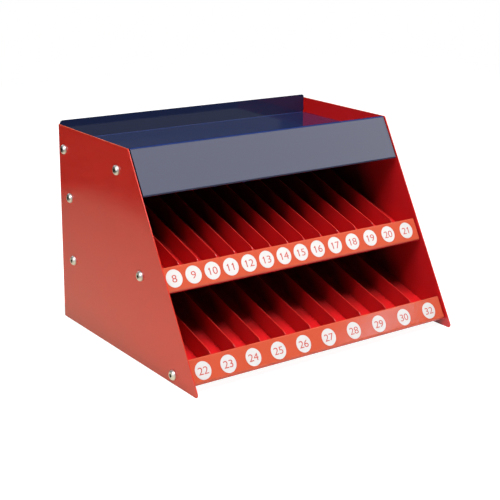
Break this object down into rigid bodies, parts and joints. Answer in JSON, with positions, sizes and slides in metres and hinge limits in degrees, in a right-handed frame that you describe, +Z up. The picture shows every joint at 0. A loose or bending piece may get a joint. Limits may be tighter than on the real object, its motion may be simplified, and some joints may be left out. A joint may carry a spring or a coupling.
{
  "type": "socket organizer rack",
  "caption": "Sloped sheet-metal bench rack with a tool tray above two shelves, each parted by upright dividers into bays that widen for larger drive sockets.",
  "frame": {"origin": "bottom centre of the bounding box, on the surface the rack stands on", "axes": "+Z up, +X across the width to the right as seen from the front, -Y towards the open front"},
  "size_m": [0.4588, 0.3642, 0.297],
  "materials": {
    "red_enamel": "gloss red powder coat",
    "navy_enamel": "gloss navy powder coat",
    "zinc_steel": "bright zinc plate"
  },
  "bodies": {
    "root": {"side_panel_left": "red_enamel", "side_panel_right": "red_enamel", "back_panel": "red_enamel", "top_tray": "navy_enamel", "upper_shelf": "red_enamel", "upper_divider_01": "red_enamel", "upper_divider_02": "red_enamel", "upper_divider_03": "red_enamel", "upper_divider_04": "red_enamel", "upper_divider_05": "red_enamel", "upper_divider_06": "red_enamel", "upper_divider_07": "red_enamel", "upper_divider_08": "red_enamel", "upper_divider_09": "red_enamel", "upper_divider_10": "red_enamel", "upper_divider_11": "red_enamel", "upper_divider_12": "red_enamel", "upper_divider_13": "red_enamel", "lower_shelf": "red_enamel", "lower_divider_01": "red_enamel", "lower_divider_02": "red_enamel", "lower_divider_03": "red_enamel", "lower_divider_04": "red_enamel", "lower_divider_05": "red_enamel", "lower_divider_06": "red_enamel", "lower_divider_07": "red_enamel", "lower_divider_08": "red_enamel", "lower_divider_09": "red_enamel", "tray_screws": "zinc_steel", "tray_nuts": "zinc_steel", "upper_shelf_screws": "zinc_steel", "upper_shelf_nuts": "zinc_steel", "lower_shelf_screws": "zinc_steel", "lower_shelf_nuts": "zinc_steel"}
  },
  "joints": []
}
